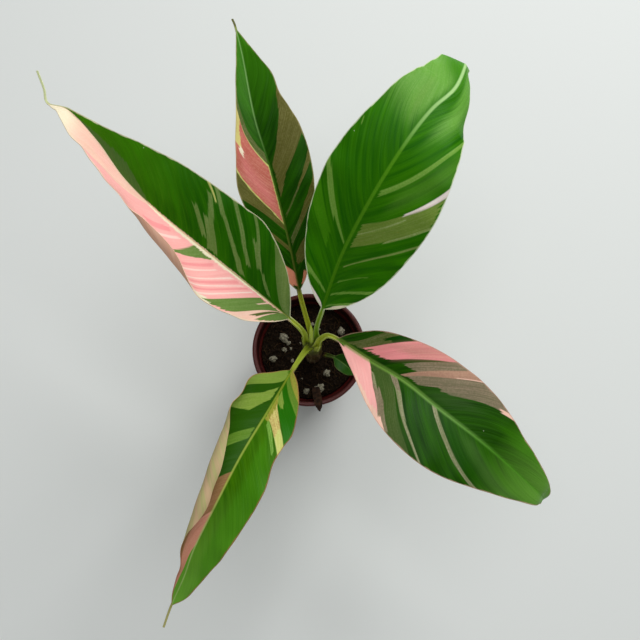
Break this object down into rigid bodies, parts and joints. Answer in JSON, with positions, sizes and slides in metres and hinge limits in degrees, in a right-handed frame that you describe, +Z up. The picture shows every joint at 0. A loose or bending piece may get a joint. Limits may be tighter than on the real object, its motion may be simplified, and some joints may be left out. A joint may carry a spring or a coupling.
{
  "type": "potted pink variegated banana plant",
  "caption": "Young banana plant with pink, cream and grey-green patched leaves on a short pseudostem, rooted in dark soil in a small round red plastic nursery pot.",
  "frame": {"origin": "centre of the pot's flat underside", "axes": "+Z up, +X to the right and +Y to the back as the plant is seen in the picture from above"},
  "size_m": [0.2059, 0.2539, 0.1632],
  "materials": {
    "pot": "satin brick-red moulded plastic",
    "soil": "rough dark potting mix with pale perlite grains",
    "pseudostem": "smooth yellow-green leaf sheaths, browner at the foot",
    "leaf_upper_left": "satin leaf, deep green on one half and pink and cream on the other",
    "leaf_upper_middle": "satin dark green leaf with olive stripes and a pink patch",
    "leaf_upper_right": "satin bright green leaf with grey-green and pale stripes",
    "leaf_lower_right": "satin dark green leaf with pink and grey-green bands",
    "leaf_lower_left": "satin green leaf with yellow-green stripes and a pink-brown patch",
    "leaf_low_small": "satin dark green leaf"
  },
  "bodies": {
    "root": {"pot": "pot", "soil": "soil", "pseudostem": "pseudostem", "leaf_upper_left": "leaf_upper_left", "leaf_upper_middle": "leaf_upper_middle", "leaf_upper_right": "leaf_upper_right", "leaf_lower_right": "leaf_lower_right", "leaf_lower_left": "leaf_lower_left", "leaf_low_small": "leaf_low_small"}
  },
  "joints": []
}
